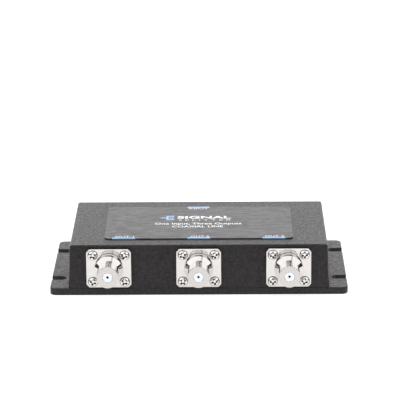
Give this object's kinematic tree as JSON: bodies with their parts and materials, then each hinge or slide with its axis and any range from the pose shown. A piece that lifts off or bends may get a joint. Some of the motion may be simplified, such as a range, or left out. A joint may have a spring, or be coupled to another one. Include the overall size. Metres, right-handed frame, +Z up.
{
  "type": "coaxial signal splitter",
  "caption": "Flat black metal box on a slotted mounting plate, with threaded coaxial jacks on its long sides; it divides one radio signal among its outputs.",
  "frame": {"origin": "middle of the base plate's underside, on the surface that the object stands on", "axes": "+X to the right when facing the output jacks, along the longest side; +Y from the outputs at the front to the input at the back; +Z up"},
  "size_m": [0.1324, 0.1024, 0.0233],
  "materials": {
    "powder_coat": "fine-texture black powder coat",
    "label": "brushed along its length, grey anodised",
    "nickel": "nickel plate over turned brass",
    "screw_nickel": "nickel-plated steel",
    "screw_steel": "zinc-plated steel",
    "insulator": "smooth white plastic",
    "contact": "plated spring bronze",
    "bush": "white fluoropolymer",
    "seal": "conductive elastomer",
    "adhesive": "acrylic adhesive sheet",
    "board": "glass-epoxy laminate with solder mask",
    "copper": "bare copper foil",
    "resistor": "chip resistor body",
    "solder": "tin solder"
  },
  "bodies": {
    "root": {"housing": "powder_coat", "base_plate": "powder_coat", "base_seal": "seal", "base_screws": "screw_steel", "name_plate": "label", "name_plate_adhesive": "adhesive", "circuit_board": "board", "divider_track": "copper", "ground_foil": "copper", "isolation_resistors": "resistor", "solder_joints": "solder", "board_screws": "screw_steel", "flange_screws": "screw_nickel", "output_1_shell": "nickel", "output_1_insulator": "insulator", "output_1_contact": "contact", "output_1_rear_bush": "bush", "output_2_shell": "nickel", "output_2_insulator": "insulator", "output_2_contact": "contact", "output_2_rear_bush": "bush", "output_3_shell": "nickel", "output_3_insulator": "insulator", "output_3_contact": "contact", "output_3_rear_bush": "bush", "input_shell": "nickel", "input_insulator": "insulator", "input_contact": "contact", "input_rear_bush": "bush"}
  },
  "joints": []
}
